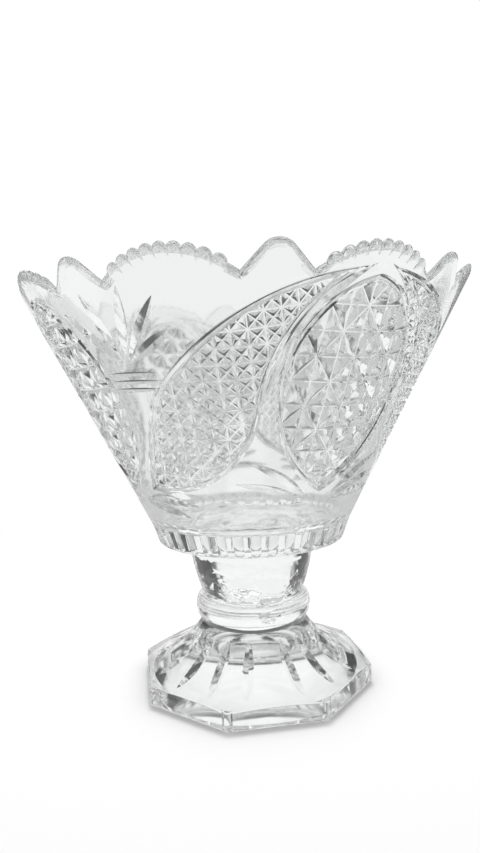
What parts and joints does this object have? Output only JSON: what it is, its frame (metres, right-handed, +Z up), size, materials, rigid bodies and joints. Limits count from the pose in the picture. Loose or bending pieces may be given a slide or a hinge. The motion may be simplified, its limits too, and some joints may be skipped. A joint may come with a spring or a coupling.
{
  "type": "footed glass vase",
  "caption": "Clear pressed-glass footed vase: flared round bowl with scalloped rim and star pattern, short stem with collar, octagonal ray-cut foot.",
  "frame": {"origin": "centre of the foot's ground rim, on the surface the vase stands on", "axes": "+Z up along the vase's axis; +Y through the middle of a pointed-oval panel that has a comma panel on each side"},
  "size_m": [0.202, 0.202, 0.1854],
  "materials": {
    "foot_glass": "pressed and fire-polished, ground on its lower rim",
    "stem_glass": "pressed and fire-polished",
    "bowl_glass": "pressed with a cut-style pattern, fire-polished",
    "cement": "clear cement with air bubbles"
  },
  "bodies": {
    "root": {"foot": "foot_glass", "foot_cement": "cement", "stem": "stem_glass", "bowl_cement": "cement", "bowl": "bowl_glass"}
  },
  "joints": []
}
